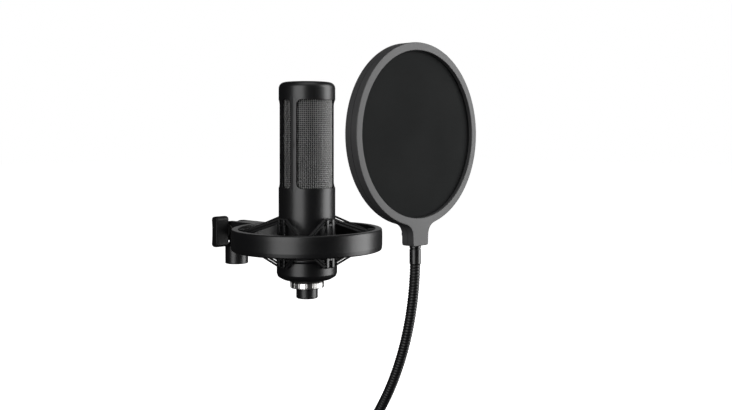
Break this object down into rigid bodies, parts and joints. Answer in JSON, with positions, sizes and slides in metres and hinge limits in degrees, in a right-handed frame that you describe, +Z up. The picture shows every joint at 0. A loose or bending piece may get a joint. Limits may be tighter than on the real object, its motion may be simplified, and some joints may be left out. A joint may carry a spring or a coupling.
{
  "type": "desktop microphone",
  "caption": "Side-address condenser microphone in an elastic-cord shock mount with a tilting stand adapter, and a round pop filter on a clamped gooseneck.",
  "frame": {"origin": "centre of the stand socket's mouth, on the axis of the stand it screws onto", "axes": "+Z up along the stand and the microphone's axis, -Y the way the microphone's front and the pop filter face, +X to the right when looking along +Y"},
  "size_m": [0.1428, 0.246, 0.3686],
  "materials": {
    "satin_black_metal": "satin",
    "nickel": "polished",
    "black_plastic": "fine grain",
    "black_rubber": "matt",
    "elastic": "braided",
    "cloth": "fine knit",
    "brass_gold": "polished",
    "washer_plastic": "smooth",
    "black_steel": "semi-gloss",
    "board_green": "lacquered",
    "plain_steel": "brushed"
  },
  "bodies": {
    "stand_adapter": {"adapter_tube": "satin_black_metal", "thread_bush": "nickel"},
    "suspension_ring": {"suspension_ring": "satin_black_metal", "anchor_pegs": "black_plastic", "pivot_bolt": "black_steel", "friction_washers": "washer_plastic", "upper_cord": "elastic", "lower_cord": "elastic"},
    "knob_washer": {"knob_washer": "washer_plastic"},
    "tilt_knob": {"tilt_knob": "black_plastic", "knob_insert": "nickel"},
    "microphone": {"cradle_cup": "satin_black_metal", "felt_seat": "cloth", "cradle_posts": "satin_black_metal", "body_tube": "satin_black_metal", "grille_mesh": "nickel", "inner_mesh": "nickel", "lower_collar": "satin_black_metal", "upper_collar": "satin_black_metal", "capsule_ring": "brass_gold", "backplate": "brass_gold", "front_diaphragm": "brass_gold", "rear_diaphragm": "brass_gold", "capsule_saddle": "black_rubber", "chassis": "plain_steel", "circuit_board": "board_green", "output_transformer": "plain_steel", "capacitors": "black_plastic", "base_plate": "plain_steel", "connector_shell": "satin_black_metal", "connector_insert": "black_plastic", "connector_pins": "nickel", "base_screws": "nickel"},
    "lock_washer": {"lock_washer": "washer_plastic"},
    "lock_ring": {"lock_ring": "nickel"},
    "stand_clamp": {"clamp_frame": "black_plastic", "jaw_liner": "black_rubber", "lower_ferrule": "black_steel", "neck_link_8": "black_rubber"},
    "clamp_pad": {"clamp_pad": "black_rubber"},
    "clamp_screw": {"clamp_screw": "nickel", "clamp_knob": "black_plastic"},
    "link_7": {"neck_link_7": "black_rubber"},
    "link_6": {"neck_link_6": "black_rubber"},
    "link_5": {"neck_link_5": "black_rubber"},
    "link_4": {"neck_link_4": "black_rubber"},
    "link_3": {"neck_link_3": "black_rubber"},
    "link_2": {"neck_link_2": "black_rubber"},
    "link_1": {"neck_link_1": "black_rubber", "upper_ferrule": "black_steel"},
    "pop_filter": {"filter_front_frame": "black_plastic", "filter_rear_frame": "black_plastic", "front_cloth": "cloth", "rear_cloth": "cloth", "filter_screws": "nickel"}
  },
  "joints": [
    {"name": "swivel_tilt", "type": "hinge", "parent": "stand_adapter", "child": "suspension_ring", "pos_m": [0, 0, 0.0318], "axis": [1, 0, 0], "range_deg": [-70, 25]},
    {"name": "knob_shift", "type": "slide", "parent": "suspension_ring", "child": "knob_washer", "axis": [-1, 0, 0], "range_m": [0, 0.001]},
    {"name": "knob_turn", "type": "hinge", "parent": "knob_washer", "child": "tilt_knob", "pos_m": [-0.0195, 0, 0.0318], "axis": [-1, 0, 0], "range_deg": [0, 360]},
    {"name": "cradle_travel", "type": "slide", "parent": "suspension_ring", "child": "microphone", "axis": [0, 0, 1], "range_m": [-0.004, 0.004], "stiffness_N_per_m": 1600, "springref_m": 0.003, "deforming": ["upper_cord", "lower_cord"]},
    {"name": "lock_shift", "type": "slide", "parent": "microphone", "child": "lock_washer", "axis": [0, 0, -1], "range_m": [0, 0.003]},
    {"name": "lock_turn", "type": "hinge", "parent": "lock_washer", "child": "lock_ring", "pos_m": [0, -0.101, -0.0077], "axis": [0, 0, -1], "range_deg": [0, 720]},
    {"name": "clamp_swing", "type": "hinge", "parent": "stand_adapter", "child": "stand_clamp", "pos_m": [0, 0, -0.1627], "axis": [0, 0, 1], "range_deg": [-90, 90]},
    {"name": "pad_shift", "type": "slide", "parent": "stand_clamp", "child": "clamp_pad", "axis": [1, 0, 0], "range_m": [0, 0.004]},
    {"name": "clamp_turn", "type": "hinge", "parent": "clamp_pad", "child": "clamp_screw", "pos_m": [-0.043, 0, -0.1627], "axis": [1, 0, 0], "range_deg": [0, 720]},
    {"name": "neck_bend_1", "type": "hinge", "parent": "stand_clamp", "child": "link_7", "pos_m": [0, -0.10368, -0.16009], "axis": [1, 0, 0], "range_deg": [-1.5, 4]},
    {"name": "neck_bend_2", "type": "hinge", "parent": "link_7", "child": "link_6", "pos_m": [0, -0.13556, -0.14911], "axis": [1, 0, 0], "range_deg": [-1.5, 4]},
    {"name": "neck_bend_3", "type": "hinge", "parent": "link_6", "child": "link_5", "pos_m": [0, -0.16354, -0.13031], "axis": [1, 0, 0], "range_deg": [-1.5, 4]},
    {"name": "neck_bend_4", "type": "hinge", "parent": "link_5", "child": "link_4", "pos_m": [0, -0.18576, -0.10495], "axis": [1, 0, 0], "range_deg": [-1.5, 4]},
    {"name": "neck_bend_5", "type": "hinge", "parent": "link_4", "child": "link_3", "pos_m": [0, -0.20276, -0.07576], "axis": [1, 0, 0], "range_deg": [-1.5, 4]},
    {"name": "neck_bend_6", "type": "hinge", "parent": "link_3", "child": "link_2", "pos_m": [0, -0.21544, -0.04445], "axis": [1, 0, 0], "range_deg": [-1.5, 4]},
    {"name": "neck_bend_7", "type": "hinge", "parent": "link_2", "child": "link_1", "pos_m": [0, -0.22355, -0.01166], "axis": [1, 0, 0], "range_deg": [-1.5, 4]},
    {"name": "filter_swivel", "type": "hinge", "parent": "link_1", "child": "pop_filter", "pos_m": [0, -0.227, 0.042], "axis": [0, 0, 1], "range_deg": [-90, 90]}
  ],
  "couplings": [
    {"joint": "knob_turn", "follows": "knob_shift", "rad_per_m": 6283.2},
    {"joint": "lock_turn", "follows": "lock_shift", "rad_per_m": 4188.8},
    {"joint": "clamp_turn", "follows": "pad_shift", "rad_per_m": 3141.6},
    {"joint": "neck_bend_2", "follows": "neck_bend_1", "ratio": 1},
    {"joint": "neck_bend_3", "follows": "neck_bend_1", "ratio": 1},
    {"joint": "neck_bend_4", "follows": "neck_bend_1", "ratio": 1},
    {"joint": "neck_bend_5", "follows": "neck_bend_1", "ratio": 1},
    {"joint": "neck_bend_6", "follows": "neck_bend_1", "ratio": 1},
    {"joint": "neck_bend_7", "follows": "neck_bend_1", "ratio": 1}
  ]
}
